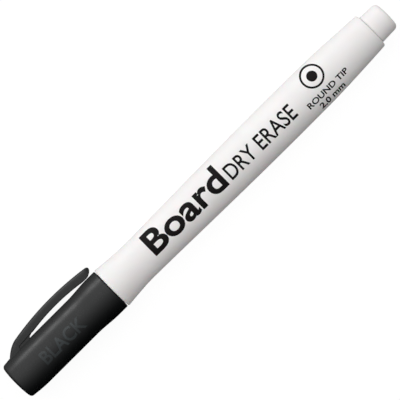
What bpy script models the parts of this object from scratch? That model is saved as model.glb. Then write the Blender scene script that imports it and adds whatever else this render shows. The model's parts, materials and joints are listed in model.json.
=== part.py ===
"""A slim whiteboard marker, lying capped on a desk, as separate solids.

Every piece is modelled about one pen axis. In that axis's own frame Z runs from the cap's closed
end (0) to the tail, X points at the clip, and Y completes the frame. The pen_axis empty then lays
the pen along world +X and rolls it until the clip touches the desk, so world Z = 0 is the desk.
"""

import math

import bmesh
import bpy
from mathutils import Matrix

MM = 0.001

# Driving dimensions, in millimetres along and around the pen axis.
LENGTH = 142.0
DESK_GAP = 0.015  # lifts the facets of the clip's rounded edge to just touch the desk
STEPS = 48  # facets round a turned piece
BARREL_STEPS = 36  # one facet of the barrel lies flat on the desk
FIT_GAP = 0.1  # between pieces that are pressed together
ARC_POINTS = 4  # facets on a rounded edge

# Cap.
CAP_LENGTH = 36.2
CAP_END_RADIUS = 5.7
CAP_BODY_RADIUS = 6.13
CAP_MOUTH_RADIUS = 6.55
CAP_DRAFT = (1.2, 6.8)  # where the side widens from the end's radius to the body's
CAP_FLARE = (25.5, 33.0)  # where it widens again to the mouth's
CAP_END_LAND = 3.0  # radius of the flat in the middle of the closed end
CAP_CROWN = 0.3  # how far that flat stands proud of the end's rim
CAP_END_ROUND = 0.9
CAP_END_WALL = 1.3
CAP_BORE_RADIUS = 4.95
CAP_SOCKET_RADIUS = 5.45  # the wider bore that goes over the tip holder
CAP_SOCKET_DEPTH = 8.6

# Clip. Heights are measured from the pen axis.
CLIP_WIDTH = (5.2, 4.4)  # at the root and at the tip
CLIP_ROUND = 1.1  # rounded long edges of the outer face
CLIP_CREST = (22.9, 9.88)  # highest point of the outer face
CLIP_OUTER_ARC = 85.0
CLIP_UNDER_CREST = (22.4, 7.42)
CLIP_UNDER_ARC = 62.0
CLIP_ROOT = 3.6  # where the root rises out of the cap
CLIP_SHOULDER = 8.0  # where the root's slope meets the outer arc
CLIP_SPLIT = 11.2  # the arm flexes from here on
CLIP_SPLIT_GAP = 0.3
CLIP_RECESS = (7.6, 6.42)  # where the root's underside starts, over the narrower web
CLIP_WEB_WIDTH = 3.4
CLIP_PAD = 33.2  # where the tip presses on the cap
CLIP_PAD_CLEARANCE = 0.15
CLIP_TIP = 35.3

# Barrel.
BARREL_FRONT = 36.5
BARREL_BACK = 135.8
COLLAR_RADIUS = 6.7
COLLAR_EDGE = 0.2  # bevel of the front rim
WAIST = (46.3, 5.98)
BELLY = (101.0, 6.64)
BELLY_END = (114.0, 6.6)
TAIL_RADIUS = 5.62
TAIL_ROUND = 0.45
BORE_RADIUS = 4.75
TAIL_BORE_RADIUS = 4.2
TAIL_BORE_DEPTH = 8.8

# Tail plug.
STUB_RADIUS = (4.62, 4.42)  # at the barrel and at the far end
STUB_ROUND = 1.2
STUB_CROWN = 0.2
STUB_LAND = 2.2
PLUG_DEPTH = 8.4
PLUG_HOLLOW_RADIUS = 3.0
PLUG_END_WALL = 2.0

# Tip holder.
HOLDER_NOSE = (14.6, 2.35)
HOLDER_NECK = (20.2, 3.0)
HOLDER_CONE = (26.6, 3.9)
HOLDER_LAND_START = 29.4
HOLDER_LAND_RADIUS = 5.3
HOLDER_BACK = 46.2
NIB_BORE_RADIUS = 1.7

# Nib and ink reservoir.
NIB_POINT = 9.4
NIB_OGIVE = 3.4
NIB_RADIUS = 1.6
NIB_POINT_RADIUS = 0.5
NIB_BACK = 50.0
RESERVOIR_FRONT = 46.5
RESERVOIR_BACK = 126.6
RESERVOIR_RADIUS = 4.3
SOCKET_CLEARANCE = 0.3
FILM_INNER_RADIUS = 4.38
FILM_OUTER_RADIUS = 4.55

# Inner cap, the cup that seals the nib.
INNER_CAP_FLOOR = 2.2
INNER_CAP_RIM = 20.4
INNER_CAP_WALL = 0.75
INNER_CAP_RADIUS = 3.2
INNER_CAP_LIP_RADIUS = 3.08
INNER_CAP_FLANGE_RADIUS = 4.85
INNER_CAP_FLANGE = 1.6

COLOURS = {
    "white_plastic": ((0.87, 0.86, 0.86), 0.38),
    "black_plastic": ((0.03, 0.032, 0.034), 0.42),
    "natural_plastic": ((0.78, 0.79, 0.77), 0.45),
    "grey_plastic": ((0.05, 0.05, 0.055), 0.4),
    "nib_fibre": ((0.015, 0.015, 0.018), 0.8),
    "reservoir_fibre": ((0.06, 0.06, 0.07), 0.95),
    "clear_film": ((0.7, 0.72, 0.74), 0.2),
}


def axis_height():
    """Height of the pen's axis when a facet of the barrel's collar lies on the desk."""
    return barrel_radius(BARREL_FRONT + COLLAR_EDGE) * math.cos(math.pi / BARREL_STEPS)


def roll_angle():
    """How far the clip hangs below level when both it and the barrel's collar touch the desk.

    The clip's lower long edge is a quarter round about (reach, half), so it touches where
    reach * sin(roll) + half * cos(roll) + CLIP_ROUND equals the height of the axis.
    """
    reach = CLIP_CREST[1] - CLIP_ROUND
    half = clip_width(CLIP_CREST[0]) / 2 - CLIP_ROUND
    touching = math.asin((axis_height() - CLIP_ROUND) / math.hypot(reach, half))
    return touching - math.atan2(half, reach)


def facet_turn():
    """Turns the barrel so that the middle of a facet faces the desk."""
    down = roll_angle() - math.pi / 2
    half_step = math.pi / BARREL_STEPS
    return (down - half_step) % (2 * half_step)


def ease(share):
    """0 to 1 with a level start and a level end."""
    return share * share * (3 - 2 * share)


def rounded(centre, radius, start, end, points=ARC_POINTS):
    """(radius, z) points on an arc about centre, from one angle to another in degrees."""
    angles = [math.radians(start + (end - start) * i / points) for i in range(points + 1)]
    return [(centre[0] + radius * math.cos(a), centre[1] + radius * math.sin(a)) for a in angles]


def share_of(span, z):
    """How far z is through a span, from 0 at its start to 1 at its end."""
    return min(1.0, max(0.0, (z - span[0]) / (span[1] - span[0])))


def cap_radius(z):
    drafted = (CAP_BODY_RADIUS - CAP_END_RADIUS) * (1 - share_of(CAP_DRAFT, z)) ** 2
    flared = (CAP_MOUTH_RADIUS - CAP_BODY_RADIUS) * ease(share_of(CAP_FLARE, z))
    return CAP_BODY_RADIUS - drafted + flared


def barrel_radius(z):
    """The barrel's outside: a flared collar, a waist, a long belly and a tapered tail."""
    if z < WAIST[0]:
        share = (z - BARREL_FRONT) / (WAIST[0] - BARREL_FRONT)
        return WAIST[1] + (COLLAR_RADIUS - WAIST[1]) * (1 - share) ** 1.5
    if z < BELLY[0]:
        share = (z - WAIST[0]) / (BELLY[0] - WAIST[0])
        return WAIST[1] + (BELLY[1] - WAIST[1]) * math.sin(share * math.pi / 2) ** 1.3
    if z < BELLY_END[0]:
        share = (z - BELLY[0]) / (BELLY_END[0] - BELLY[0])
        return BELLY[1] + (BELLY_END[1] - BELLY[1]) * ease(share)
    share = (z - BELLY_END[0]) / (BARREL_BACK - BELLY_END[0])
    return BELLY_END[1] + (TAIL_RADIUS - BELLY_END[1]) * share**1.35


def stations(start, end, count):
    return [start + (end - start) * i / count for i in range(count + 1)]


def clip_outer(z):
    return CLIP_CREST[1] - (z - CLIP_CREST[0]) ** 2 / (2 * CLIP_OUTER_ARC)


def clip_under(z):
    """The arm's underside, kept clear of the cap at the pad."""
    arc = CLIP_UNDER_CREST[1] - (z - CLIP_UNDER_CREST[0]) ** 2 / (2 * CLIP_UNDER_ARC)
    return max(arc, cap_radius(z) + CLIP_PAD_CLEARANCE)


def clip_width(z):
    root, tip = CLIP_WIDTH
    return root + (tip - root) * share_of((CLIP_SPLIT, CLIP_TIP), z)


def new_collection(name, parent):
    collection = bpy.data.collections.new(name)
    parent.children.link(collection)
    return collection


def plastic(name):
    colour, roughness = COLOURS[name]
    material = bpy.data.materials.get(name)
    if material is None:
        material = bpy.data.materials.new(name)
        material.use_nodes = True
        shader = material.node_tree.nodes["Principled BSDF"]
        shader.inputs["Base Color"].default_value = (*colour, 1.0)
        shader.inputs["Roughness"].default_value = roughness
        shader.inputs["Metallic"].default_value = 0.0
    return material


def add_object(name, mesh, material, collection, axis):
    obj = bpy.data.objects.new(name, mesh)
    obj.parent = axis
    mesh.materials.append(plastic(material))
    collection.objects.link(obj)
    return obj


def turned(name, profile, material, collection, axis, closed=False, steps=STEPS):
    """A piece turned about the pen axis.

    profile is (radius, z) in mm and runs down the outer side, from the tail towards the cap. It
    starts and ends on the axis, or is closed round a through bore.
    """
    mesh = bpy.data.meshes.new(name)
    points = [(radius * MM, 0.0, z * MM) for radius, z in profile]
    edges = [(i, i + 1) for i in range(len(points) - 1)]
    if closed:
        edges.append((len(points) - 1, 0))
    mesh.from_pydata(points, edges, [])
    obj = add_object(name, mesh, material, collection, axis)
    screw = obj.modifiers.new("Turn", "SCREW")
    screw.axis = "Z"
    screw.steps = steps
    screw.render_steps = steps
    screw.use_merge_vertices = True
    screw.merge_threshold = 0.00001
    screw.use_smooth_shade = True
    return obj


def outline_mesh(name, outline):
    """A flat (z, height) outline in mm as a slab 1 mm thick across the pen, in whole faces."""
    curve = bpy.data.curves.new(name, "CURVE")
    curve.dimensions = "2D"
    curve.fill_mode = "BOTH"
    curve.extrude = 0.5 * MM
    spline = curve.splines.new("POLY")
    spline.points.add(len(outline) - 1)
    for point, (z, height) in zip(spline.points, outline):
        point.co = (z * MM, height * MM, 0.0, 1.0)
    spline.use_cyclic_u = True
    flat = bpy.data.objects.new(name + "_outline", curve)
    bpy.context.scene.collection.objects.link(flat)
    bpy.context.view_layer.update()
    graph = bpy.context.evaluated_depsgraph_get()
    mesh = bpy.data.meshes.new_from_object(flat.evaluated_get(graph))
    bpy.data.objects.remove(flat)
    # The outline's x is the pen's Z, and its y is the height above the pen's axis.
    mesh.transform(Matrix(((0, 1, 0, 0), (0, 0, 1, 0), (1, 0, 0, 0), (0, 0, 0, 1))))
    return mesh


def extruded(name, outline, width, material, collection, axis, edge_round):
    """An outline given a width across the pen, a function of z, and rounded outer edges."""
    mesh = outline_mesh(name, outline)
    for vertex in mesh.vertices:
        vertex.co.y *= width(vertex.co.z / MM)
    work = bmesh.new()
    work.from_mesh(mesh)
    bmesh.ops.remove_doubles(work, verts=work.verts, dist=0.00001)
    bmesh.ops.dissolve_limit(work, angle_limit=0.001, verts=work.verts, edges=work.edges)
    bmesh.ops.recalc_face_normals(work, faces=work.faces)
    if edge_round:
        bmesh.ops.bevel(
            work,
            geom=[edge for edge in work.edges if is_outer_side_edge(edge)],
            offset=edge_round * MM,
            segments=3,
            profile=0.5,
            affect="EDGES",
        )
    work.to_mesh(mesh)
    work.free()
    return add_object(name, mesh, material, collection, axis)


def is_outer_side_edge(edge):
    """True on the long edges between the outer face and the two sides."""
    normals = [face.normal for face in edge.link_faces]
    outward = any(normal.x > 0.3 for normal in normals)
    sideways = any(abs(normal.y) > 0.9 for normal in normals)
    return outward and sideways


def make_cap(collection, cutters, axis):
    socket_floor = CAP_LENGTH - CAP_SOCKET_DEPTH
    inside = [
        (0.0, CAP_END_WALL),
        (CAP_BORE_RADIUS - 0.6, CAP_END_WALL),
        (CAP_BORE_RADIUS, CAP_END_WALL + 0.6),
        (CAP_BORE_RADIUS, socket_floor - 0.5),
        (CAP_SOCKET_RADIUS, socket_floor),
        (CAP_SOCKET_RADIUS, CAP_LENGTH - 0.3),
        (CAP_SOCKET_RADIUS + 0.3, CAP_LENGTH),
    ]
    lip = [(CAP_MOUTH_RADIUS - 0.15, CAP_LENGTH), (CAP_MOUTH_RADIUS, CAP_LENGTH - 0.15)]
    flare = [(cap_radius(z), z) for z in reversed(stations(*CAP_FLARE, 5))]
    body = [(cap_radius(z), z) for z in reversed(stations(CAP_DRAFT[0] + 0.8, CAP_DRAFT[1], 3))]
    corner = rounded(
        (CAP_END_RADIUS - CAP_END_ROUND, CAP_CROWN + CAP_END_ROUND), CAP_END_ROUND, 0, -90
    )
    land = [(CAP_END_LAND, 0.0), (0.0, 0.0)]
    profile = inside + lip + flare + body + corner + land
    cap = turned("cap", profile, "black_plastic", collection, axis)

    # The clip's root and the web under it, which stay with the cap while the arm flexes.
    back = CLIP_SPLIT - CLIP_SPLIT_GAP
    sunk = CAP_END_RADIUS - 0.4
    slope = [(CLIP_ROOT, sunk), (CLIP_ROOT, 6.1), (CLIP_ROOT + 0.5, 6.5), (5.9, 7.7), (6.9, 8.2)]
    crest = [(z, clip_outer(z)) for z in stations(CLIP_SHOULDER, back, 2)]
    recess = [(back, CLIP_RECESS[1] + 0.2), CLIP_RECESS, (CLIP_RECESS[0], sunk)]
    root = extruded(
        "clip_root", slope + crest + recess, clip_width, "black_plastic", cutters, axis, CLIP_ROUND
    )
    filled = [(back, CLIP_RECESS[1] + 0.6), (CLIP_RECESS[0] - 1, CLIP_RECESS[1] + 0.4)]
    web = extruded(
        "clip_web",
        [(back, sunk), *filled, (CLIP_RECESS[0] - 1, sunk)],
        lambda z: CLIP_WEB_WIDTH,
        "black_plastic",
        cutters,
        axis,
        edge_round=0,
    )
    for helper in (root, web):
        join = cap.modifiers.new(helper.name, "BOOLEAN")
        join.operation = "UNION"
        join.solver = "EXACT"
        join.object = helper
        hide_helper(helper)
    return cap


def hide_helper(obj):
    obj.hide_render = True
    obj.display_type = "WIRE"


def make_clip(collection, axis):
    """The arm that springs. Its origin is on the line it flexes about, half way through the arm."""
    outer = [(z, clip_outer(z)) for z in stations(CLIP_SPLIT, CLIP_TIP - 0.3, 10)]
    tip = [(CLIP_TIP, clip_outer(CLIP_TIP) - 0.45), (CLIP_TIP - 0.4, 8.0)]
    pad = [(CLIP_PAD + 0.6, clip_under(CLIP_PAD) + 0.15), (CLIP_PAD - 0.6, clip_under(CLIP_PAD))]
    under = [(z, clip_under(z)) for z in reversed(stations(CLIP_SPLIT, CLIP_PAD - 1.6, 9))]
    clip = extruded(
        "clip", outer + tip + pad + under, clip_width, "black_plastic", collection, axis, CLIP_ROUND
    )
    middle = (clip_outer(CLIP_SPLIT) + clip_under(CLIP_SPLIT)) / 2
    pivot = (middle * MM, 0.0, CLIP_SPLIT * MM)
    clip.data.transform(Matrix.Translation([-value for value in pivot]))
    clip.location = pivot
    return clip


def make_inner_cap(collection, axis):
    floor = INNER_CAP_FLOOR + INNER_CAP_WALL
    outer = INNER_CAP_RADIUS + INNER_CAP_WALL
    flange_back = INNER_CAP_RIM - INNER_CAP_FLANGE
    profile = [
        (0.0, floor),
        (INNER_CAP_RADIUS, floor),
        (INNER_CAP_RADIUS, INNER_CAP_RIM - 1.2),
        (INNER_CAP_LIP_RADIUS, INNER_CAP_RIM - 0.8),
        (INNER_CAP_LIP_RADIUS, INNER_CAP_RIM - 0.4),
        (INNER_CAP_RADIUS + 0.1, INNER_CAP_RIM),
        (INNER_CAP_FLANGE_RADIUS - 0.3, INNER_CAP_RIM),
        (INNER_CAP_FLANGE_RADIUS, INNER_CAP_RIM - 0.3),
        (INNER_CAP_FLANGE_RADIUS, flange_back),
        (outer, flange_back - 0.4),
        (outer, INNER_CAP_FLOOR + 0.5),
        (outer - 0.5, INNER_CAP_FLOOR),
        (0.0, INNER_CAP_FLOOR),
    ]
    return turned("inner_cap", profile, "natural_plastic", collection, axis, steps=32)


def make_barrel(collection, axis):
    tail_corner = rounded(
        (TAIL_RADIUS - TAIL_ROUND, BARREL_BACK - TAIL_ROUND), TAIL_ROUND, 90, 0, 3
    )
    tail = [(barrel_radius(z), z) for z in reversed(stations(BELLY_END[0], 134.0, 6))]
    belly = [(barrel_radius(z), z) for z in reversed(stations(WAIST[0], BELLY[0], 7))]
    front_rim = BARREL_FRONT + COLLAR_EDGE
    collar = [(barrel_radius(z), z) for z in reversed(stations(front_rim, 44.5, 4))]
    front = [(COLLAR_RADIUS - COLLAR_EDGE, BARREL_FRONT), (BORE_RADIUS + 0.3, BARREL_FRONT)]
    bore = [
        (BORE_RADIUS, BARREL_FRONT + 0.3),
        (BORE_RADIUS, BARREL_BACK - TAIL_BORE_DEPTH - 0.5),
        (TAIL_BORE_RADIUS, BARREL_BACK - TAIL_BORE_DEPTH),
        (TAIL_BORE_RADIUS, BARREL_BACK),
    ]
    profile = tail_corner + tail + belly + collar + front + bore
    barrel = turned(
        "barrel", profile, "white_plastic", collection, axis, closed=True, steps=BARREL_STEPS
    )
    barrel.rotation_euler.z = facet_turn()
    return barrel


def make_tail_plug(collection, axis):
    shoulder = BARREL_BACK + FIT_GAP
    shank = TAIL_BORE_RADIUS - FIT_GAP
    inner_end = BARREL_BACK - PLUG_DEPTH
    rim = LENGTH - STUB_CROWN
    corner = rounded((STUB_RADIUS[1] - STUB_ROUND, rim - STUB_ROUND), STUB_ROUND, 90, 0)
    profile = [
        (0.0, LENGTH),
        (STUB_LAND, LENGTH),
        *corner,
        (STUB_RADIUS[0], shoulder),
        (shank, shoulder),
        (shank, inner_end + 0.4),
        (shank - 0.4, inner_end),
        (PLUG_HOLLOW_RADIUS, inner_end),
        (PLUG_HOLLOW_RADIUS, LENGTH - PLUG_END_WALL - 0.6),
        (PLUG_HOLLOW_RADIUS - 0.6, LENGTH - PLUG_END_WALL),
        (0.0, LENGTH - PLUG_END_WALL),
    ]
    return turned("tail_plug", profile, "white_plastic", collection, axis)


def make_tip_holder(collection, axis):
    shoulder = BARREL_FRONT - FIT_GAP
    shank = BORE_RADIUS - FIT_GAP
    profile = [
        (shank - 0.5, HOLDER_BACK),
        (shank, HOLDER_BACK - 0.5),
        (shank, shoulder),
        (HOLDER_LAND_RADIUS, shoulder),
        (HOLDER_LAND_RADIUS, HOLDER_LAND_START + 0.4),
        (HOLDER_LAND_RADIUS - 0.4, HOLDER_LAND_START),
        (CAP_BORE_RADIUS - 0.3, HOLDER_LAND_START),
        (HOLDER_CONE[1], HOLDER_CONE[0]),
        (HOLDER_NECK[1], HOLDER_NECK[0]),
        (HOLDER_NOSE[1] + 0.15, HOLDER_NOSE[0] + 0.3),
        (HOLDER_NOSE[1] - 0.15, HOLDER_NOSE[0]),
        (NIB_BORE_RADIUS, HOLDER_NOSE[0]),
        (NIB_BORE_RADIUS, HOLDER_BACK),
    ]
    return turned("tip_holder", profile, "grey_plastic", collection, axis, closed=True)


def make_nib(collection, axis):
    """A fibre rod with a bullet point: the ogive is a quarter ellipse past a small round tip."""
    ogive = []
    for i in range(6):
        share = math.cos(i / 6 * math.pi / 2)
        radius = NIB_POINT_RADIUS + (NIB_RADIUS - NIB_POINT_RADIUS) * share
        ogive.append((radius, NIB_POINT + NIB_OGIVE * (1 - math.sin(i / 6 * math.pi / 2))))
    profile = [
        (0.0, NIB_BACK),
        (NIB_RADIUS - 0.5, NIB_BACK),
        (NIB_RADIUS, NIB_BACK - 1.0),
        *ogive,
        (NIB_POINT_RADIUS * 0.6, NIB_POINT + 0.02),
        (0.0, NIB_POINT),
    ]
    return turned("nib", profile, "nib_fibre", collection, axis, steps=24)


def make_ink_reservoir(collection, axis):
    socket = NIB_RADIUS + 0.1
    profile = [
        (0.0, RESERVOIR_BACK),
        (RESERVOIR_RADIUS, RESERVOIR_BACK),
        (RESERVOIR_RADIUS, RESERVOIR_FRONT),
        (socket, RESERVOIR_FRONT),
        (socket, NIB_BACK + SOCKET_CLEARANCE),
        (0.0, NIB_BACK + SOCKET_CLEARANCE),
    ]
    return turned("ink_reservoir", profile, "reservoir_fibre", collection, axis, steps=32)


def make_reservoir_film(collection, axis):
    profile = [
        (FILM_OUTER_RADIUS, RESERVOIR_BACK),
        (FILM_OUTER_RADIUS, RESERVOIR_FRONT),
        (FILM_INNER_RADIUS, RESERVOIR_FRONT),
        (FILM_INNER_RADIUS, RESERVOIR_BACK),
    ]
    return turned(
        "reservoir_film", profile, "clear_film", collection, axis, closed=True, steps=32
    )


def make_pen_axis(collection):
    """Lays the pen's Z along world X, its X along the clip and its Y up and out of the clip."""
    roll = roll_angle()
    axis = bpy.data.objects.new("pen_axis", None)
    collection.objects.link(axis)
    half_width = clip_width(CLIP_CREST[0]) / 2
    clip_edge = CLIP_CREST[1] * math.cos(roll) + half_width * math.sin(roll)
    lean_of_round = CLIP_ROUND * (math.cos(roll) + math.sin(roll) - 1)
    across = (clip_edge - lean_of_round - COLLAR_RADIUS) / 2
    axis.matrix_world = Matrix(
        (
            (0, 0, 1, -LENGTH / 2 * MM),
            (math.cos(roll), math.sin(roll), 0, -across * MM),
            (-math.sin(roll), math.cos(roll), 0, (axis_height() + DESK_GAP) * MM),
            (0, 0, 0, 1),
        )
    )
    return axis


def main():
    for obj in list(bpy.data.objects):
        bpy.data.objects.remove(obj)
    scene = bpy.context.scene.collection
    marker = new_collection("whiteboard_marker", scene)
    cutters = new_collection("cutters", scene)
    axis = make_pen_axis(marker)
    make_cap(marker, cutters, axis)
    make_clip(marker, axis)
    make_inner_cap(marker, axis)
    make_barrel(marker, axis)
    make_tail_plug(marker, axis)
    make_tip_holder(marker, axis)
    make_nib(marker, axis)
    make_ink_reservoir(marker, axis)
    make_reservoir_film(marker, axis)
    bpy.context.view_layer.update()


main()
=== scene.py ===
"""The finished surfaces of a slim whiteboard marker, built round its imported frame.

Every piece is modelled in the pen's own frame, in metres. X runs from the cap's closed end to the
tail, Y points at the clip, and Z at the side that carries the print. PEN then lays it on the desk.
"""

import json
import math

import bmesh
import bpy
from bpy.props import FloatProperty, FloatVectorProperty, PointerProperty, StringProperty
from mathutils import Matrix, Vector


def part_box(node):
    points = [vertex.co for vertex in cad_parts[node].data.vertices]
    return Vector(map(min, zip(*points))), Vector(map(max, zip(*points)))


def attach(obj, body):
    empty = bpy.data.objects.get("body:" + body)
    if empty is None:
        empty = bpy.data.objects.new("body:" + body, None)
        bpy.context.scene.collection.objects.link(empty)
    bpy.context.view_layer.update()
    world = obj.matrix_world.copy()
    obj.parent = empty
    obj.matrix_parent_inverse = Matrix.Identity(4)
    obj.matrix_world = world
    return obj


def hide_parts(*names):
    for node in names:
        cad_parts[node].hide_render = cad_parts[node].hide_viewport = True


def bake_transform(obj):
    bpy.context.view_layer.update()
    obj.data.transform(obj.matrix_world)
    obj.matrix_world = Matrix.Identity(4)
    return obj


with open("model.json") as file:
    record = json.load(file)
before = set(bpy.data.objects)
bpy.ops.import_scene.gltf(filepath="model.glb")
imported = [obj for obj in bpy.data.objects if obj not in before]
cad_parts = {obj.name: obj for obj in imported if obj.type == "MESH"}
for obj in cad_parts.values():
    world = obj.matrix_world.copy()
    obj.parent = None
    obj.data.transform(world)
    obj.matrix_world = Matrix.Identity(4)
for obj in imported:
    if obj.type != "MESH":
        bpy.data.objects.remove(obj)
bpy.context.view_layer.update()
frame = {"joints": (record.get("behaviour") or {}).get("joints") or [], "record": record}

bl_info = {
    "name": "Whiteboard Marker",
    "version": (1, 0, 0),
    "blender": (4, 5, 0),
    "location": "View3D > Sidebar > Marker",
    "description": "Builds a capped whiteboard marker with a sprung pocket clip",
    "category": "Add Mesh",
}

MM = 0.001
MERGE = 0.001 * MM

MOUNTS = {mount["name"]: Vector(mount["pos_m"]) for mount in frame["record"]["mounts"]}
FLEX = next(joint for joint in frame["joints"] if joint["name"] == "clip_flex")
CAP_END = MOUNTS["cap_end"]
ALONG = (MOUNTS["tail_end"] - CAP_END).normalized()
FRONT = Vector(FLEX["axis"]).normalized()
CLIPWARD = FRONT.cross(ALONG)
PEN = Matrix.Translation(CAP_END) @ Matrix((ALONG, CLIPWARD, FRONT)).transposed().to_4x4()


def span_of(node):
    """Where a node of the frame starts and ends along the pen."""
    low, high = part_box(node)
    return low.x - CAP_END.x, high.x - CAP_END.x


LENGTH = (MOUNTS["tail_end"] - CAP_END).length
CAP_SPAN = span_of("cap")
BARREL_SPAN = span_of("barrel")
HOLDER_SPAN = span_of("tip_holder")
NIB_SPAN = span_of("nib")
CORE_SPAN = span_of("ink_reservoir")
SEAL_SPAN = span_of("inner_cap")
PLUG_SPAN = span_of("tail_plug")

TURN_STEPS = 144
FINE_STEPS = 96
ROUND_SEGMENTS = 6
SHARP = math.radians(28)


# Settings


def length(name, description, millimetres):
    return FloatProperty(
        name=name,
        description=description,
        default=millimetres * MM,
        unit="LENGTH",
        subtype="DISTANCE",
        precision=5,
    )


def share(name, description, value):
    return FloatProperty(name=name, description=description, default=value, subtype="FACTOR")


def colour(name, description, red, green, blue):
    return FloatVectorProperty(
        name=name, description=description, default=(red, green, blue), size=3, subtype="COLOR"
    )


class MarkerCapSettings(bpy.types.PropertyGroup):
    end_radius: length("End radius", "Outer radius at the closed end", 5.7)
    body_radius: length("Body radius", "Outer radius of the straight part", 6.13)
    mouth_radius: length("Mouth radius", "Outer radius of the flared mouth", 6.55)
    end_round: length("End round", "Rounded corner of the closed end", 0.9)
    crown: length("Crown", "How far the middle of the closed end stands proud", 0.3)
    end_wall: length("End wall", "Thickness of the closed end", 1.3)
    bore_radius: length("Bore radius", "Inner radius behind the socket", 4.95)
    socket_radius: length("Socket radius", "Inner radius that goes over the tip holder", 5.45)
    socket_depth: length("Socket depth", "Depth of the socket from the mouth", 8.6)


class MarkerClipSettings(bpy.types.PropertyGroup):
    root_width: length("Root width", "Width across the clip where it leaves the cap", 5.2)
    tip_width: length("Tip width", "Width across the clip at its tip", 4.4)
    outer_round: length("Outer round", "Rounded long edges of the outer face", 1.5)
    under_round: length("Under round", "Softened long edges of the underside", 0.35)
    crest: length("Crest", "Height of the outer face's highest point over the pen's axis", 9.88)
    under_crest: length("Under crest", "Height of the underside's highest point", 7.42)
    web_width: length("Web width", "Width of the web under the clip's root", 3.4)


class MarkerBarrelSettings(bpy.types.PropertyGroup):
    collar_radius: length("Collar radius", "Radius at the front rim", 6.7)
    waist_radius: length("Waist radius", "Radius of the slim part behind the collar", 5.98)
    belly_radius: length("Belly radius", "Largest radius of the grip", 6.64)
    tail_radius: length("Tail radius", "Radius at the back rim", 5.62)
    bore_radius: length("Bore radius", "Inner radius round the ink core", 4.75)
    tail_bore_radius: length("Tail bore radius", "Inner radius round the tail plug", 4.2)
    stub_radius: length("Stub radius", "Radius of the tail plug at the barrel", 4.62)
    stub_end_radius: length("Stub end radius", "Radius of the tail plug at its far end", 4.42)


class MarkerTipSettings(bpy.types.PropertyGroup):
    land_radius: length("Land radius", "Radius of the land that the cap snaps over", 5.3)
    nib_radius: length("Nib radius", "Radius of the fibre nib", 1.6)
    nib_point: length("Nib point", "Radius of the small round at the nib's point", 0.5)
    nib_ogive: length("Nib ogive", "Length of the nib's rounded nose", 3.4)
    core_radius: length("Core radius", "Radius of the ink core", 4.3)
    wrap_radius: length("Wrap radius", "Outer radius of the film round the ink core", 4.55)
    cup_radius: length("Cup radius", "Inner radius of the cup that seals the nib", 3.2)
    cup_wall: length("Cup wall", "Wall of the cup that seals the nib", 0.75)


class MarkerPrintSettings(bpy.types.PropertyGroup):
    big_word: StringProperty(name="Big word", description="Bold word", default="Board")
    slim_word: StringProperty(name="Slim word", description="Thin capitals", default="DRY ERASE")
    upper_note: StringProperty(
        name="Upper note", description="First small line", default="ROUND TIP"
    )
    lower_note: StringProperty(name="Lower note", description="Second small line", default="2.0 mm")
    cap_word: StringProperty(name="Cap word", description="Raised on the cap", default="BLACK")
    ink_height: length("Ink height", "How far the print stands on the barrel", 0.012)
    raised: length("Raised", "How far the cap's word stands proud", 0.12)


class MarkerColourSettings(bpy.types.PropertyGroup):
    barrel: colour("Barrel", "White moulded plastic", 0.87, 0.857, 0.854)
    cap: colour("Cap", "Black moulded plastic", 0.0035, 0.0042, 0.0045)
    # Painted highlight: the raised word's paler colour stands in for light catching the edges of
    # the raised letters.
    rubbed: colour("Rubbed word", "Raised word, paler where it's rubbed", 0.02, 0.025, 0.027)
    ink: colour("Ink print", "Print on the barrel", 0.005, 0.004, 0.0042)
    holder: colour("Tip holder", "Dark moulded plastic", 0.045, 0.046, 0.05)
    seal: colour("Sealing cup", "Uncoloured soft plastic", 0.70, 0.71, 0.68)
    nib: colour("Nib", "Ink-soaked fibre", 0.014, 0.014, 0.017)
    core: colour("Ink core", "Ink-soaked fibre rod", 0.05, 0.05, 0.06)
    floor: colour("Floor", "Pale floor", 0.12, 0.12, 0.12)


class MarkerStageSettings(bpy.types.PropertyGroup):
    distance: length("Camera distance", "From the camera to the pen's axis", 1000)
    view_width: length("View width", "Width of the view at the pen's axis", 108.68)
    lean: FloatProperty(
        name="Lean",
        description="How far the pen leans up from level in the view",
        default=math.radians(44.85),
        subtype="ANGLE",
    )
    shift_right: length("Right of centre", "From the view's centre to the pen's middle", 0.46)
    shift_up: length("Above centre", "From the view's centre to the pen's middle", 0.39)
    floor_glow: share("Floor glow", "Light that the pale floor gives off by itself", 0.94)


# Modelling


def deselect_all():
    if bpy.context.mode != "OBJECT":
        bpy.ops.object.mode_set(mode="OBJECT")
    bpy.ops.object.select_all(action="DESELECT")


def pick(piece):
    """Makes a piece the only one that the next operators act on."""
    deselect_all()
    piece.select_set(True)
    bpy.context.view_layer.objects.active = piece


def start_piece(name):
    """Names the new primitive and opens it in edit mode, with its place in its mesh."""
    piece = bpy.context.object
    piece.name = piece.data.name = name
    bpy.ops.object.transform_apply(location=True, rotation=True, scale=True)
    bpy.ops.object.mode_set(mode="EDIT")
    bpy.ops.mesh.select_mode(type="VERT")
    bpy.ops.mesh.select_all(action="SELECT")
    return piece


def select_where(test):
    """Selects the vertices of the mesh being edited whose place passes a test."""
    bpy.ops.mesh.select_all(action="DESELECT")
    mesh = bpy.context.edit_object.data
    work = bmesh.from_edit_mesh(mesh)
    for vertex in work.verts:
        if test(vertex.co):
            vertex.select_set(True)
    work.select_flush(True)
    bmesh.update_edit_mesh(mesh)


def near(places):
    """A test for vertices that lie at one of the given (along, radius) places."""
    return lambda co: any(math.hypot(co.x - place[0], co.y - place[1]) < MERGE for place in places)


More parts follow.
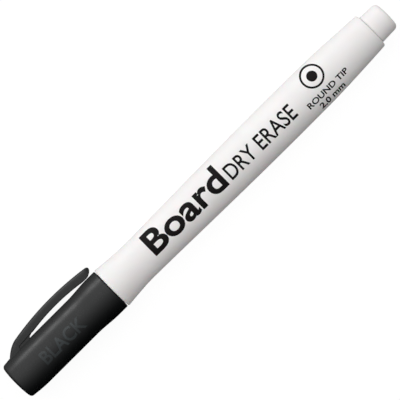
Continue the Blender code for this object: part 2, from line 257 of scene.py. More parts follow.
def turn(name, profile, steps=TURN_STEPS):
    """Draws a profile of (along, radius) corners as one wire, rounds the corners that have a third
    value, and spins the wire about the pen's axis."""
    deselect_all()
    bpy.ops.mesh.primitive_plane_add(size=MM)
    piece = start_piece(name)
    bpy.ops.mesh.merge(type="CENTER")
    bpy.ops.transform.translate(value=(profile[0][0], profile[0][1], 0))
    for before, after in zip(profile, profile[1:]):
        move = (after[0] - before[0], after[1] - before[1], 0)
        bpy.ops.mesh.extrude_region_move(TRANSFORM_OT_translate={"value": move})
    corners = [corner for corner in profile if len(corner) > 2]
    for size in sorted({corner[2] for corner in corners}):
        select_where(near([corner for corner in corners if corner[2] == size]))
        bpy.ops.mesh.bevel(offset=size, segments=ROUND_SEGMENTS, affect="VERTICES")
    bpy.ops.mesh.select_all(action="SELECT")
    bpy.ops.mesh.remove_doubles(threshold=MERGE)
    bpy.ops.mesh.spin(steps=steps, angle=math.tau, center=(0, 0, 0), axis=(1, 0, 0))
    close_piece()
    return piece


def close_piece():
    """Merges the seams of the mesh being edited and points its faces outwards."""
    bpy.ops.mesh.select_all(action="SELECT")
    bpy.ops.mesh.remove_doubles(threshold=MERGE)
    bpy.ops.mesh.normals_make_consistent(inside=False)
    bpy.ops.object.mode_set(mode="OBJECT")


def loft(name, sections, upper_round, lower_round):
    """Extrudes a rounded rectangle from section to section: (along, lower, upper, width)."""
    along, lower, upper, width = sections[0]
    deselect_all()
    bpy.ops.mesh.primitive_plane_add(size=1, rotation=(0, math.pi / 2, 0))
    piece = start_piece(name)
    tall, wide = largest_section(sections)
    bpy.ops.transform.resize(value=(1, tall, wide))
    for upside, size in ((1, upper_round), (-1, lower_round)):
        select_where(lambda co: co.y * upside > tall / 2 - MERGE)
        bpy.ops.mesh.bevel(
            offset=size, segments=ROUND_SEGMENTS + 2, profile=0.6, affect="VERTICES"
        )
    bpy.ops.mesh.select_all(action="SELECT")
    bpy.ops.transform.resize(value=(1, (upper - lower) / tall, width / wide))
    bpy.ops.transform.translate(value=(along, (upper + lower) / 2, 0))
    for before, after in zip(sections, sections[1:]):
        rise = (after[1] + after[2] - before[1] - before[2]) / 2
        move = (after[0] - before[0], rise, 0)
        bpy.ops.mesh.extrude_region_move(TRANSFORM_OT_translate={"value": move})
        bpy.ops.transform.resize(
            value=(1, (after[2] - after[1]) / (before[2] - before[1]), after[3] / before[3]),
            center_override=(after[0], (after[1] + after[2]) / 2, 0),
        )
    close_piece()
    return piece


def largest_section(sections):
    return max(upper - lower for _, lower, upper, _ in sections), max(s[3] for s in sections)


def finish_piece(piece, material, body, slot, *nodes):
    """Lays a piece in the pen's place, gives it its surface and ties it to its body."""
    pick(piece)
    piece.matrix_world = PEN @ piece.matrix_world
    bpy.ops.object.transform_apply(location=True, rotation=True, scale=True)
    bpy.ops.object.shade_smooth_by_angle(angle=SHARP)
    require_closed(piece)
    piece.data.materials.clear()
    piece.data.materials.append(material)
    if nodes:
        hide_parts(*nodes)
    if body:
        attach(piece, body)
    return piece


def require_closed(piece):
    work = bmesh.new()
    work.from_mesh(piece.data)
    open_edges = sum(not edge.is_manifold for edge in work.edges)
    volume = work.calc_volume(signed=True)
    work.free()
    if open_edges or volume <= 0:
        raise RuntimeError(f"{piece.name} has {open_edges} open edges and volume {volume:g}")


def mm(*corners):
    """Profile corners given in millimetres."""
    return [tuple(value * MM for value in corner) for corner in corners]


def stations(start, end, count):
    return [start + (end - start) * i / count for i in range(count + 1)]


def share_of(span, value):
    """How far a value is through a span, from 0 to 1."""
    return min(1.0, max(0.0, (value - span[0]) / (span[1] - span[0])))


def ease(part):
    return part * part * (3 - 2 * part)


# Outlines of the cap, the clip and the barrel

CAP_DRAFT = (1.2 * MM, 6.8 * MM)
CAP_FLARE = (25.5 * MM, 33.0 * MM)
WAIST = 46.3 * MM
BELLY = 101.0 * MM
BELLY_END = 114.0 * MM
BELLY_FALL = 0.04 * MM
COLLAR_POWER = 1.5
BELLY_POWER = 1.3
TAIL_POWER = 1.35
CLIP_CREST_AT = 22.9 * MM
CLIP_OUTER_ARC = 85.0 * MM
CLIP_UNDER_CREST_AT = 22.4 * MM
CLIP_UNDER_ARC = 62.0 * MM
CLIP_ROOT_PLACES = (3.3, 3.6, 3.9, 4.3, 4.7, 5.2, 5.8, 6.4, 7.0, 7.28, 7.6)
CLIP_SHOULDER = 8.2 * MM
CLIP_DIVE = 77
CLIP_ROOT_END = 7.3 * MM
CLIP_WEB_RISE = (7.6 * MM, 12.8 * MM)
CLIP_WEB_TOP = 6.42
CLIP_WEB_CLIMB = 0.34
CLIP_TAPER_START = 11.2 * MM
CLIP_PAD = 33.6 * MM
CLIP_PAD_GAP = 0.13 * MM
CLIP_LEAD_IN = 0.36 * MM
CLIP_NOSE = (35.2 * MM, 35.8 * MM)
CLIP_NOSE_ROUND = (33.8 * MM, 36.0 * MM)
CLIP_NOSE_POWER = 2.6
SUNK_IN_CAP = 0.45 * MM
SNAP_LAND_START = 29.4 * MM
SNAP_GROOVE = (32.2 * MM, 32.5 * MM, 33.7 * MM, 34.0 * MM)
SNAP_BEAD = (32.4 * MM, 32.8 * MM, 33.4 * MM, 33.8 * MM)

# Each corner of the tip holder's nose: its place along the pen, radius and round, in millimetres.
HOLDER_TAPER = ((14.6, 2.45, 0.2), (20.2, 3.0, 0.4), (26.6, 3.9, 0.5))
HOLDER_STEP = ((28.9, 4.6, 0.2), (29.4, 4.65, 0.15))


def cap_radius(cap, x):
    drafted = (cap.body_radius - cap.end_radius) * (1 - share_of(CAP_DRAFT, x)) ** 2
    flared = (cap.mouth_radius - cap.body_radius) * ease(share_of(CAP_FLARE, x))
    return cap.body_radius - drafted + flared


def barrel_radius(barrel, x):
    """A flared collar, a waist, a long belly and a tapered tail."""
    waist, belly = barrel.waist_radius, barrel.belly_radius
    belly_end = belly - BELLY_FALL
    if x < WAIST:
        part = (x - BARREL_SPAN[0]) / (WAIST - BARREL_SPAN[0])
        return waist + (barrel.collar_radius - waist) * (1 - part) ** COLLAR_POWER
    if x < BELLY:
        part = (x - WAIST) / (BELLY - WAIST)
        return waist + (belly - waist) * math.sin(part * math.pi / 2) ** BELLY_POWER
    if x < BELLY_END:
        return belly + (belly_end - belly) * ease(share_of((BELLY, BELLY_END), x))
    part = (x - BELLY_END) / (BARREL_SPAN[1] - BELLY_END)
    return belly_end + (barrel.tail_radius - belly_end) * part**TAIL_POWER


def clip_upper(clip, x):
    """The outer face: one long arc, which dives into the cap at the root."""
    arc = clip.crest - (x - CLIP_CREST_AT) ** 2 / (2 * CLIP_OUTER_ARC)
    return arc - CLIP_DIVE * max(0.0, CLIP_SHOULDER - x) ** 2


def clip_lower(clip, cap, x):
    """The underside: sunk in the cap at the root, an arc, a pad on the cap, and a lead-in."""
    if x < CLIP_ROOT_END:
        return cap.bore_radius + SUNK_IN_CAP
    if x < CLIP_WEB_RISE[1]:
        return (CLIP_WEB_TOP + CLIP_WEB_CLIMB * share_of(CLIP_WEB_RISE, x)) * MM
    arc = clip.under_crest - (x - CLIP_UNDER_CREST_AT) ** 2 / (2 * CLIP_UNDER_ARC)
    lead_in = CLIP_LEAD_IN * (max(0.0, x - CLIP_PAD) / MM) ** 1.5
    return max(arc, cap_radius(cap, x) + CLIP_PAD_GAP) + lead_in


def clip_width(clip, x):
    taper = share_of((CLIP_TAPER_START, CLIP_NOSE[0]), x)
    nose = share_of(CLIP_NOSE_ROUND, x)
    width = clip.root_width + (clip.tip_width - clip.root_width) * taper
    return width * math.sqrt(1 - nose**CLIP_NOSE_POWER)


# Surfaces

NIB_STRANDS = 5200
NIB_MATTING = 0.03 * MM
CORE_STRANDS = 3200
CORE_MATTING = 0.06 * MM
FILM_TINT = (0.8, 0.82, 0.84)


def new_material(name):
    material = bpy.data.materials.new(name)
    material.use_nodes = True
    tree = material.node_tree
    coordinates = tree.nodes.new("ShaderNodeTexCoord")
    return material, tree, tree.nodes["Principled BSDF"], coordinates.outputs["Object"]


def stretched(tree, vector, scale):
    mapping = tree.nodes.new("ShaderNodeMapping")
    mapping.inputs["Scale"].default_value = scale
    tree.links.new(vector, mapping.inputs["Vector"])
    return mapping.outputs["Vector"]


def noise(tree, vector, scale, detail=3.0, roughness=0.5):
    texture = tree.nodes.new("ShaderNodeTexNoise")
    texture.inputs["Scale"].default_value = scale
    texture.inputs["Detail"].default_value = detail
    texture.inputs["Roughness"].default_value = roughness
    tree.links.new(vector, texture.inputs["Vector"])
    return texture.outputs["Fac"]


def ranged(tree, value, low, high, start=0.3, end=0.7):
    """Maps a noise value to a range."""
    node = tree.nodes.new("ShaderNodeMapRange")
    for name, number in (("From Min", start), ("From Max", end), ("To Min", low), ("To Max", high)):
        node.inputs[name].default_value = number
    tree.links.new(value, node.inputs["Value"])
    return node.outputs["Result"]


def varied_colour(tree, factor, base, change):
    """A colour that drifts to either side of its base by a share."""
    mix = tree.nodes.new("ShaderNodeMix")
    mix.data_type = "RGBA"
    mix.inputs[6].default_value = (*(channel * (1 - change) for channel in base), 1)
    mix.inputs[7].default_value = (*(min(1, channel * (1 + change)) for channel in base), 1)
    tree.links.new(factor, mix.inputs[0])
    return mix.outputs[2]


def bumped(tree, height, distance, strength=1.0, below=None):
    bump = tree.nodes.new("ShaderNodeBump")
    bump.inputs["Distance"].default_value = distance
    bump.inputs["Strength"].default_value = strength
    tree.links.new(height, bump.inputs["Height"])
    if below is not None:
        tree.links.new(below, bump.inputs["Normal"])
    return bump.outputs["Normal"]


def moulded_plastic(name, base, roughness, drift, grain, scuffs):
    """Satin injection-moulded plastic: slow colour drift, spark-eroded grain, and light scuffs
    that run along the pen."""
    material, tree, shader, place = new_material(name)
    links = tree.links
    slow = ranged(tree, noise(tree, place, 160, 2), 0, 1)
    links.new(varied_colour(tree, slow, base, drift), shader.inputs["Base Color"])
    fine = noise(tree, place, 5200, 2, 0.6)
    rubbed = noise(tree, stretched(tree, place, (90, 2600, 2600)), 1, 4, 0.65)
    patches = ranged(tree, noise(tree, place, 420, 3), roughness - 0.05, roughness + 0.05)
    worn = tree.nodes.new("ShaderNodeMath")
    worn.operation = "ADD"
    links.new(patches, worn.inputs[0])
    links.new(ranged(tree, rubbed, 0, scuffs, 0.55, 0.75), worn.inputs[1])
    links.new(worn.outputs[0], shader.inputs["Roughness"])
    scuffed = bumped(tree, rubbed, 0.004 * MM, 0.6)
    links.new(bumped(tree, fine, grain, 0.8, scuffed), shader.inputs["Normal"])
    return material, shader


def white_plastic(colours):
    material, shader = moulded_plastic(
        "white_plastic", colours.barrel, roughness=0.42, drift=0.015, grain=0.006 * MM, scuffs=0.06
    )
    shader.inputs["Specular IOR Level"].default_value = 0.4
    shader.inputs["Subsurface Weight"].default_value = 0.12
    shader.inputs["Subsurface Scale"].default_value = 0.4 * MM
    return material


def black_plastic(colours):
    material, shader = moulded_plastic(
        "black_plastic", colours.cap, roughness=0.3, drift=0.08, grain=0.008 * MM, scuffs=0.1
    )
    shader.inputs["Specular IOR Level"].default_value = 0.5
    return material


# Painted highlight: this material's paler colour stands in for light catching the raised word's
# letters on the cap.
def rubbed_black(colours):
    material, _ = moulded_plastic(
        "rubbed_black", colours.rubbed, roughness=0.34, drift=0.2, grain=0.008 * MM, scuffs=0.12
    )
    return material


def holder_plastic(colours):
    material, _ = moulded_plastic(
        "holder_plastic", colours.holder, roughness=0.36, drift=0.06, grain=0.005 * MM, scuffs=0.05
    )
    return material


def seal_plastic(colours):
    material, shader = moulded_plastic(
        "seal_plastic", colours.seal, roughness=0.46, drift=0.03, grain=0.004 * MM, scuffs=0.03
    )
    shader.inputs["Subsurface Weight"].default_value = 0.35
    shader.inputs["Subsurface Scale"].default_value = 0.9 * MM
    return material


def print_ink(colours):
    """Thin, slightly mottled pad print."""
    material, tree, shader, place = new_material("print_ink")
    mottle = ranged(tree, noise(tree, place, 1900, 4, 0.7), 0, 1)
    tree.links.new(varied_colour(tree, mottle, colours.ink, 0.5), shader.inputs["Base Color"])
    tree.links.new(ranged(tree, mottle, 0.45, 0.6, 0, 1), shader.inputs["Roughness"])
    tree.links.new(bumped(tree, mottle, 0.003 * MM), shader.inputs["Normal"])
    shader.inputs["Specular IOR Level"].default_value = 0.12
    return material


def fibre(name, base, strands, matting):
    """Bundled fibres that run along the pen."""
    material, tree, shader, place = new_material(name)
    along = noise(tree, stretched(tree, place, (120, strands, strands)), 1, 5, 0.7)
    tufts = noise(tree, place, 2400, 4, 0.6)
    strand = ranged(tree, along, 0, 1)
    tree.links.new(varied_colour(tree, strand, base, 0.55), shader.inputs["Base Color"])
    tree.links.new(ranged(tree, tufts, 0.7, 0.95), shader.inputs["Roughness"])
    matted = bumped(tree, tufts, matting)
    tree.links.new(bumped(tree, along, 0.05 * MM, 1.0, matted), shader.inputs["Normal"])
    shader.inputs["Sheen Weight"].default_value = 0.15
    return material


def clear_film():
    """Thin clear wrap with faint pull lines round it."""
    material, tree, shader, place = new_material("clear_film")
    lines = noise(tree, stretched(tree, place, (1500, 60, 60)), 1, 3)
    tint = ranged(tree, lines, 0, 1)
    tree.links.new(varied_colour(tree, tint, FILM_TINT, 0.05), shader.inputs["Base Color"])
    tree.links.new(ranged(tree, lines, 0.08, 0.2), shader.inputs["Roughness"])
    tree.links.new(bumped(tree, lines, 0.01 * MM, 0.5), shader.inputs["Normal"])
    shader.inputs["Transmission Weight"].default_value = 0.85
    shader.inputs["IOR"].default_value = 1.49
    return material


def pale_floor(settings, glow):
    """Pale sheet that gives off part of its light, so that no hard shadow shows."""
    material, tree, shader, place = new_material("pale_floor")
    slow = ranged(tree, noise(tree, place, 3, 2), 0, 1)
    tree.links.new(varied_colour(tree, slow, settings.floor, 0.01), shader.inputs["Base Color"])
    tree.links.new(ranged(tree, slow, 0.85, 0.95), shader.inputs["Roughness"])
    shader.inputs["Specular IOR Level"].default_value = 0.0
    shader.inputs["Emission Color"].default_value = (1, 1, 1, 1)
    shader.inputs["Emission Strength"].default_value = glow
    return material


def surface(name, maker, *details):
    """The named material, made when it's first asked for."""
    return bpy.data.materials.get(name) or maker(*details)


# Lettering and signs

PRINT_ROW = 0.2 * MM
PRINT_COLUMN = 2 * MM
SHEET_SIZE = 10 * MM


def fit(piece, low, high):
    """Scales and moves a flat mesh so that it fills a box from low to high, in the pen's frame."""
    pick(piece)
    corners = [Vector(corner) for corner in piece.bound_box]
    left = Vector((min(c.x for c in corners), min(c.y for c in corners), 0))
    right = Vector((max(c.x for c in corners), max(c.y for c in corners), 0))
    scale = Vector(
        ((high[0] - low[0]) / (right.x - left.x), (high[1] - low[1]) / (right.y - left.y), 1)
    )
    piece.scale = scale
    piece.location = (low[0] - left.x * scale.x, low[1] - left.y * scale.y, 0)
    bpy.ops.object.transform_apply(location=True, rotation=True, scale=True)


def lettering(name, word, low, high, weight):
    """A word as a flat sheet that fills a box in the pen's frame, all in millimetres. weight
    thickens its strokes."""
    deselect_all()
    bpy.ops.object.text_add()
    text = bpy.context.object
    text.name = text.data.name = name
    text.data.body = word
    text.data.size = SHEET_SIZE
    text.data.resolution_u = 5
    text.data.offset = weight * MM
    bpy.ops.object.convert(target="MESH")
    piece = bpy.context.object
    bpy.ops.object.mode_set(mode="EDIT")
    bpy.ops.mesh.select_all(action="SELECT")
    bpy.ops.mesh.remove_doubles(threshold=MERGE / 2)
    bpy.ops.object.mode_set(mode="OBJECT")
    fit(piece, *mm(low, high))
    return piece


def disc(name, middle, radius, ring=0.0):
    """A flat disc, or a ring when a stroke width is given."""
    deselect_all()
    bpy.ops.mesh.primitive_circle_add(
        vertices=72, radius=radius, fill_type="NGON", location=(*middle, 0)
    )
    piece = start_piece(name)
    if ring:
        bpy.ops.mesh.inset(thickness=ring)
        bpy.ops.mesh.delete(type="FACE")
    bpy.ops.object.mode_set(mode="OBJECT")
    return piece


def press_on(piece, radius_at, depth):
    """Cuts a flat sheet into narrow bands, thickens it both ways by a depth, and lays it on the
    round side straight below it, as a printing pad does."""
    pick(piece)
    heights = [vertex.co.y for vertex in piece.data.vertices]
    places = [vertex.co.x for vertex in piece.data.vertices]
    bpy.ops.object.mode_set(mode="EDIT")
    rows = band_edges(min(heights), max(heights), PRINT_ROW)
    columns = band_edges(min(places), max(places), PRINT_COLUMN)
    cuts = [((0, y, 0), (0, 1, 0)) for y in rows]
    cuts += [((x, 0, 0), (1, 0, 0)) for x in columns]
    for place, normal in cuts:
        bpy.ops.mesh.select_all(action="SELECT")
        bpy.ops.mesh.bisect(plane_co=place, plane_no=normal, threshold=MERGE / 10)
    bpy.ops.mesh.select_all(action="SELECT")
    bpy.ops.transform.translate(value=(0, 0, -depth))
    bpy.ops.mesh.extrude_region_move(TRANSFORM_OT_translate={"value": (0, 0, 2 * depth)})
    bpy.ops.object.mode_set(mode="OBJECT")
    middle = radius_at(sum(places) / len(places))
    for vertex in piece.data.vertices:
        angle = math.asin(vertex.co.y / middle)
        radius = radius_at(vertex.co.x) + vertex.co.z
        vertex.co.y = radius * math.sin(angle)
        vertex.co.z = radius * math.cos(angle)


def band_edges(low, high, step):
    count = math.ceil((high - low) / step)
    return stations(low, high, count)[1:-1]


# Pieces


class MARKER_OT_barrel(bpy.types.Operator):
    """Builds the white barrel and the plug in its tail"""

    bl_idname = "marker.barrel"
    bl_label = "Barrel and tail plug"

    def execute(self, context):
        barrel = context.scene.marker_barrel
        material = surface("white_plastic", white_plastic, context.scene.marker_colours)
        front, back = BARREL_SPAN
        rim = front + 0.25 * MM
        places = stations(rim, WAIST, 18) + stations(WAIST, BELLY, 36)[1:]
        places += stations(BELLY, BELLY_END, 5)[1:] + stations(BELLY_END, back - 1.2 * MM, 16)[1:]
        outside = [(x, barrel_radius(barrel, x)) for x in places]
        collar, bore, tail_bore = barrel.collar_radius, barrel.bore_radius, barrel.tail_bore_radius
        step = back - 8.8 * MM
        profile = [
            (front, collar - 0.2 * MM),
            *outside,
            (back, barrel.tail_radius, 0.5 * MM),
            (back, tail_bore + 0.2 * MM),
            (back - 0.2 * MM, tail_bore),
            (step, tail_bore, 0.15 * MM),
            (step - 0.5 * MM, bore, 0.15 * MM),
            (front + 0.3 * MM, bore),
            (front, bore + 0.3 * MM),
            (front, collar - 0.2 * MM),
        ]
        piece = turn("barrel_shell", profile)
        finish_piece(piece, material, "root", "barrel_plastic", "barrel")
        self.tail_plug(barrel, material)
        return {"FINISHED"}

    def tail_plug(self, barrel, material):
        inner, end = PLUG_SPAN
        shoulder = BARREL_SPAN[1] + 0.1 * MM
        shank = barrel.tail_bore_radius - 0.1 * MM
        hollow = 3.0 * MM
        floor = end - 2.0 * MM
        profile = [
            (end, 0),
            (end, 1.4 * MM),
            (end - 0.06 * MM, 2.3 * MM),
            (end - 0.25 * MM, barrel.stub_end_radius, 1.15 * MM),
            (shoulder, barrel.stub_radius, 0.12 * MM),
            (shoulder, shank),
            (inner, shank, 0.4 * MM),
            (inner, hollow, 0.15 * MM),
            (floor, hollow, 0.5 * MM),
            (floor, 0),
        ]
        piece = turn("tail_end_plug", profile)
        finish_piece(piece, material, "root", "plug_plastic", "tail_plug")


class MARKER_OT_tip(bpy.types.Operator):
    """Builds the tip holder and the fibre nib in it"""

    bl_idname = "marker.tip"
    bl_label = "Tip holder and nib"

    def execute(self, context):
        scene = context.scene
        tip = scene.marker_tip
        nose, back = HOLDER_SPAN
        shoulder = BARREL_SPAN[0] - 0.1 * MM
        shank = scene.marker_barrel.bore_radius - 0.1 * MM
        bore = tip.nib_radius + 0.1 * MM
        land = tip.land_radius
        bead = land + 0.09 * MM
        profile = [
            (nose, bore),
            *mm(*HOLDER_TAPER, *HOLDER_STEP),
            (SNAP_LAND_START, land, 0.35 * MM),
            (SNAP_BEAD[0], land),
            (SNAP_BEAD[1], bead, 0.15 * MM),
            (SNAP_BEAD[2], bead, 0.15 * MM),
            (SNAP_BEAD[3], land),
            (shoulder, land, 0.1 * MM),
            (shoulder, shank),
            (back, shank, 0.45 * MM),
            (back, bore, 0.1 * MM),
            (nose, bore),
        ]
        piece = turn("tip_socket", profile)
        material = surface("holder_plastic", holder_plastic, scene.marker_colours)
        finish_piece(piece, material, "root", "holder_plastic", "tip_holder")
        self.nib(tip, scene.marker_colours)
        return {"FINISHED"}

    def nib(self, tip, colours):
        """A fibre rod whose nose is a quarter ellipse past a small round point."""
        point, back = NIB_SPAN
        nose = []
        for angle in stations(0, math.pi / 2, 18):
            radius = tip.nib_point + (tip.nib_radius - tip.nib_point) * math.sin(angle)
            nose.append((point + tip.nib_ogive * (1 - math.cos(angle)), radius))
        profile = [
            (point, 0),
            (point + 0.02 * MM, 0.6 * tip.nib_point),
            (nose[0][0] + 0.08 * MM, 0.98 * tip.nib_point),
            *nose[2:],
            (back, tip.nib_radius, 0.5 * MM),
            (back, 0),
        ]
        piece = turn("writing_nib", profile, FINE_STEPS)
        material = surface(
            "nib_fibre", fibre, "nib_fibre", colours.nib, NIB_STRANDS, NIB_MATTING
        )
        finish_piece(piece, material, "root", "nib_fibre", "nib")


class MARKER_OT_ink(bpy.types.Operator):
    """Builds the ink core inside the barrel and the film wrapped round it"""

    bl_idname = "marker.ink"
    bl_label = "Ink core and wrap"

    def execute(self, context):
        tip = context.scene.marker_tip
        colours = context.scene.marker_colours
        front, back = CORE_SPAN
        socket = tip.nib_radius + 0.1 * MM
        depth = NIB_SPAN[1] + 0.3 * MM
        profile = [
            (back, 0),
            (back, tip.core_radius, 0.3 * MM),
            (front, tip.core_radius, 0.3 * MM),
            (front, socket, 0.15 * MM),
            (depth, socket),
            (depth, 0),
        ]
        piece = turn("ink_core", profile, FINE_STEPS)
        material = surface(
            "core_fibre", fibre, "core_fibre", colours.core, CORE_STRANDS, CORE_MATTING
        )
        finish_piece(piece, material, "root", "reservoir_fibre", "ink_reservoir")

        inside = tip.core_radius + 0.08 * MM
        round_edge = 0.05 * MM
        profile = [
            (front, inside),
            (front, tip.wrap_radius, round_edge),
            (back, tip.wrap_radius, round_edge),
            (back, inside),
            (front, inside),
        ]
        piece = turn("core_wrap", profile, FINE_STEPS)
        material = surface("clear_film", clear_film)
        finish_piece(piece, material, "root", "clear_film", "reservoir_film")
        return {"FINISHED"}


class MARKER_OT_cap(bpy.types.Operator):
    """Builds the black cap and the cup inside it that seals the nib"""

    bl_idname = "marker.cap"
    bl_label = "Cap and sealing cup"

    def execute(self, context):
        cap = context.scene.marker_cap
        end, mouth = CAP_SPAN
        socket_floor = mouth - cap.socket_depth
        groove = cap.socket_radius + 0.08 * MM
        rim = end + cap.crown
        sides = stations(CAP_DRAFT[0] + 0.9 * MM, CAP_DRAFT[1], 9) + stations(*CAP_FLARE, 16)
        profile = [
            (end + cap.end_wall, 0),
            (end + cap.end_wall, cap.bore_radius, 0.6 * MM),
            (socket_floor - 0.5 * MM, cap.bore_radius, 0.15 * MM),
            (socket_floor, cap.socket_radius, 0.15 * MM),
            (SNAP_GROOVE[0], cap.socket_radius),
            (SNAP_GROOVE[1], groove),
            (SNAP_GROOVE[2], groove),
            (SNAP_GROOVE[3], cap.socket_radius),
            (mouth - 0.3 * MM, cap.socket_radius),
            (mouth, cap.socket_radius + 0.3 * MM),
            (mouth, cap.mouth_radius, 0.18 * MM),
            *[(x, cap_radius(cap, x)) for x in reversed(sides)],
            (rim, cap.end_radius - 0.04 * MM, cap.end_round * 0.85),
            (end + 0.03 * MM, 3.6 * MM),
            (end, 3.0 * MM),
            (end, 0),
        ]
        piece = turn("cap_shell", profile)
        material = surface("black_plastic", black_plastic, context.scene.marker_colours)
        finish_piece(piece, material, "cap", "cap_plastic", "cap")
        self.sealing_cup(context.scene)
        return {"FINISHED"}

    def sealing_cup(self, scene):
        tip = scene.marker_tip
        floor, rim = SEAL_SPAN
        outer = tip.cup_radius + tip.cup_wall
        lip = tip.cup_radius - 0.12 * MM
        flange = scene.marker_cap.bore_radius - 0.1 * MM
        flange_back = rim - 1.6 * MM
        profile = [
            (floor + tip.cup_wall, 0),
            (floor + tip.cup_wall, tip.cup_radius, 0.5 * MM),
            (rim - 1.2 * MM, tip.cup_radius),
            (rim - 0.8 * MM, lip, 0.1 * MM),
            (rim - 0.4 * MM, lip, 0.1 * MM),
            (rim, tip.cup_radius + 0.1 * MM),
            (rim, flange, 0.25 * MM),
            (flange_back, flange, 0.2 * MM),
            (flange_back - 0.4 * MM, outer, 0.15 * MM),
            (floor, outer, 0.5 * MM),
            (floor, 0),
        ]
        piece = turn("sealing_cup", profile, FINE_STEPS)
        material = surface("seal_plastic", seal_plastic, scene.marker_colours)
        finish_piece(piece, material, "cap", "seal_plastic", "inner_cap")


class MARKER_OT_clip(bpy.types.Operator):
    """Builds the pocket clip and the web under its root"""

    bl_idname = "marker.clip"
    bl_label = "Pocket clip"

    def execute(self, context):
        scene = context.scene
        clip, cap = scene.marker_clip, scene.marker_cap
        material = surface("black_plastic", black_plastic, scene.marker_colours)
        places = [x * MM for x in CLIP_ROOT_PLACES]
        places += stations(CLIP_SHOULDER, CLIP_PAD, 26)
        places += stations(CLIP_PAD, CLIP_NOSE[0], 5)[1:]
        nose_start, nose_end = CLIP_NOSE
        places += [nose_start + part * (nose_end - nose_start) for part in (0.4, 0.7, 0.9, 0.98)]
        piece = loft(
            "pocket_clip",
            [self.section(clip, cap, x) for x in places],
            clip.outer_round,
            clip.under_round,
        )
        finish_piece(piece, material, None, "cap_plastic", "clip")

        wide = clip.web_width
        sunk = cap.bore_radius + SUNK_IN_CAP
        sections = [
            (6.6 * MM, sunk, 6.6 * MM, wide),
            (10.9 * MM, sunk, 6.75 * MM, wide),
            (11.15 * MM, 6.16 * MM, 6.77 * MM, wide),
            (11.5 * MM, 6.46 * MM, 6.8 * MM, wide),
            (12.3 * MM, 6.7 * MM, 6.85 * MM, wide - 0.1 * MM),
            (12.7 * MM, 6.77 * MM, 6.87 * MM, wide - 0.2 * MM),
        ]
        web = loft("clip_web", sections, 0.1 * MM, 0.04 * MM)
        finish_piece(web, material, None, "cap_plastic")
        for flexing in (piece, web):
            flexing.visible_glossy = False
            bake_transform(flexing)
        return {"FINISHED"}

    def section(self, clip, cap, x):
        """The clip's cut across the pen, which draws in to a round nose."""
        lower, upper = clip_lower(clip, cap, x), clip_upper(clip, x)
        part = share_of(CLIP_NOSE, x)
        half = (upper - lower) / 2 * math.sqrt(1 - part**2)
        middle = (upper + lower) / 2
        return x, middle - half, middle + half, clip_width(clip, x)


# Each word's box runs from low to high in millimetres. The last number thickens its strokes.
PRINTED_WORDS = (
    ("print_big_word", "big_word", (51.35, -2.62), (79.15, 4.64), 0.24),
    ("print_slim_word", "slim_word", (80.45, -2.55), (105.5, 2.0), 0.1),
    ("print_upper_note", "upper_note", (108.8, -3.8), (123.5, -2.1), 0.25),
    ("print_lower_note", "lower_note", (111.35, -5.95), (120.35, -4.4), 0.25),
)
CAP_WORD_PLACE = ((9.8, -2.6), (25.0, 1.3), 0.2)
SIGN_AT = (115.4 * MM, 2.48 * MM)
SIGN_RADIUS = 3.42 * MM
SIGN_STROKE = 0.56 * MM
SIGN_DOT_RADIUS = 1.5 * MM


class MARKER_OT_print(bpy.types.Operator):
    """Prints the generic words and sign on the barrel, and raises a word on the cap"""

    bl_idname = "marker.print"
    bl_label = "Print and raised word"

    def execute(self, context):
        scene = context.scene
        words, barrel, cap = scene.marker_print, scene.marker_barrel, scene.marker_cap
        ink = surface("print_ink", print_ink, scene.marker_colours)
        printed = [
            lettering(name, getattr(words, word), *place) for name, word, *place in PRINTED_WORDS
        ]
        printed.append(disc("print_ring", SIGN_AT, SIGN_RADIUS, ring=SIGN_STROKE))
        printed.append(disc("print_dot", SIGN_AT, SIGN_DOT_RADIUS))
        for piece in printed:
            press_on(piece, lambda x: barrel_radius(barrel, x), words.ink_height)
            finish_piece(piece, ink, "root", "barrel_plastic")

        raised = lettering("cap_word", words.cap_word, *CAP_WORD_PLACE)
        press_on(raised, lambda x: cap_radius(cap, x), words.raised)
        # The raised word gets the paler material, a painted highlight on its letters.
        material = surface("rubbed_black", rubbed_black, scene.marker_colours)
        finish_piece(raised, material, "cap", "cap_plastic")
        return {"FINISHED"}


def aimed(place, target):
    """A turn that points a light or a camera from a place at a target."""
    return (target - place).to_track_quat("-Z", "Y").to_euler()


def soft_box(name, elevation, distance, size, power):
    """A soft box on the clip's side of the pen, at an elevation in degrees."""
    target = PEN @ Vector((LENGTH / 2, 0, 0))
    up = math.radians(elevation)
    place = target + distance * Vector((0, math.cos(up), math.sin(up)))
    bpy.ops.object.light_add(type="AREA", location=place, rotation=aimed(place, target))
    light = bpy.context.object
    light.name = light.data.name = name
    light.data.shape = "RECTANGLE"
    light.data.size, light.data.size_y = size
    light.data.energy = power
    return light


FLOOR_RADIUS = 12
KEY_ELEVATION = 42
KEY_DISTANCE = 1.0
KEY_SIZE = (0.9, 0.5)
KEY_POWER = 7.0
ROOM_COLOUR = (1, 0.97, 0.955, 1)
ROOM_STRENGTH = 0.25
BACKDROP_STRENGTH = 0.985
# Degrees from the print side towards the clip, how narrow the glow is, and its strength.
WIDE_GLOSS = (40, 2.4, 1.25)
NARROW_GLOSS = (76, 150, 4.5)
SENSOR_WIDTH = 36


